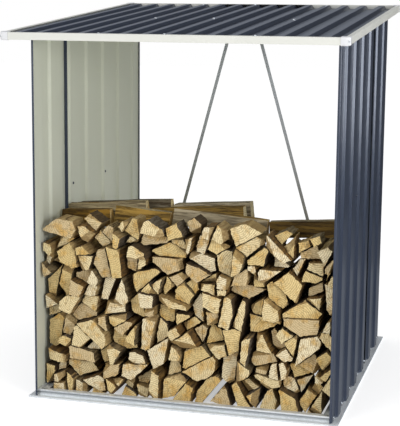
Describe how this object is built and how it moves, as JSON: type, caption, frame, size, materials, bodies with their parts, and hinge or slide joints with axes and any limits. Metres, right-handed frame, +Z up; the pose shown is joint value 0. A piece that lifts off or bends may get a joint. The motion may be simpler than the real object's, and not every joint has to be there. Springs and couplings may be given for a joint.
{
  "type": "log store",
  "caption": "Open-fronted and open-backed steel log store: ribbed anthracite side walls, lean-to roof with white edge trim, galvanised base frame and a stack of split firewood.",
  "frame": {"origin": "on the ground, under the middle of the roof's outline", "axes": "+X to the right seen from the open front, +Y towards the back, +Z up"},
  "size_m": [1.5572, 1.7748, 1.8573],
  "materials": {
    "anthracite_sheet": "roll-coated steel sheet, anthracite outside and pale grey-green inside",
    "white_trim": "off-white coated edge trim, smooth",
    "white_plastic": "moulded white plastic",
    "galvanised": "hot-dip galvanised steel, faint spangle",
    "firewood": "split dry hardwood, raw end grain, brown sides"
  },
  "bodies": {
    "root": {"back_brace_left": "galvanised", "back_brace_right": "galvanised", "base_rail_front": "galvanised", "base_rail_left": "galvanised", "base_rail_rear": "galvanised", "base_rail_right": "galvanised", "corner_cap_front_left": "white_plastic", "corner_cap_front_right": "white_plastic", "corner_cap_rear_left": "white_plastic", "corner_cap_rear_right": "white_plastic", "firewood_cross_logs": "firewood", "firewood_row_1": "firewood", "firewood_row_2": "firewood", "firewood_row_3": "firewood", "firewood_row_4": "firewood", "firewood_row_5": "firewood", "firewood_row_6": "firewood", "firewood_row_7": "firewood", "left_wall_front_panel": "anthracite_sheet", "left_wall_rear_panel": "anthracite_sheet", "right_wall_front_panel": "anthracite_sheet", "right_wall_rear_panel": "anthracite_sheet", "roof_purlin": "galvanised", "roof_sheet_left": "anthracite_sheet", "roof_sheet_middle": "anthracite_sheet", "roof_sheet_right": "anthracite_sheet", "roof_trim_front": "white_trim", "roof_trim_left": "white_trim", "roof_trim_rear": "white_trim", "roof_trim_right": "white_trim", "top_rail_front": "galvanised", "top_rail_left": "galvanised", "top_rail_rear": "galvanised", "top_rail_right": "galvanised"}
  },
  "joints": []
}
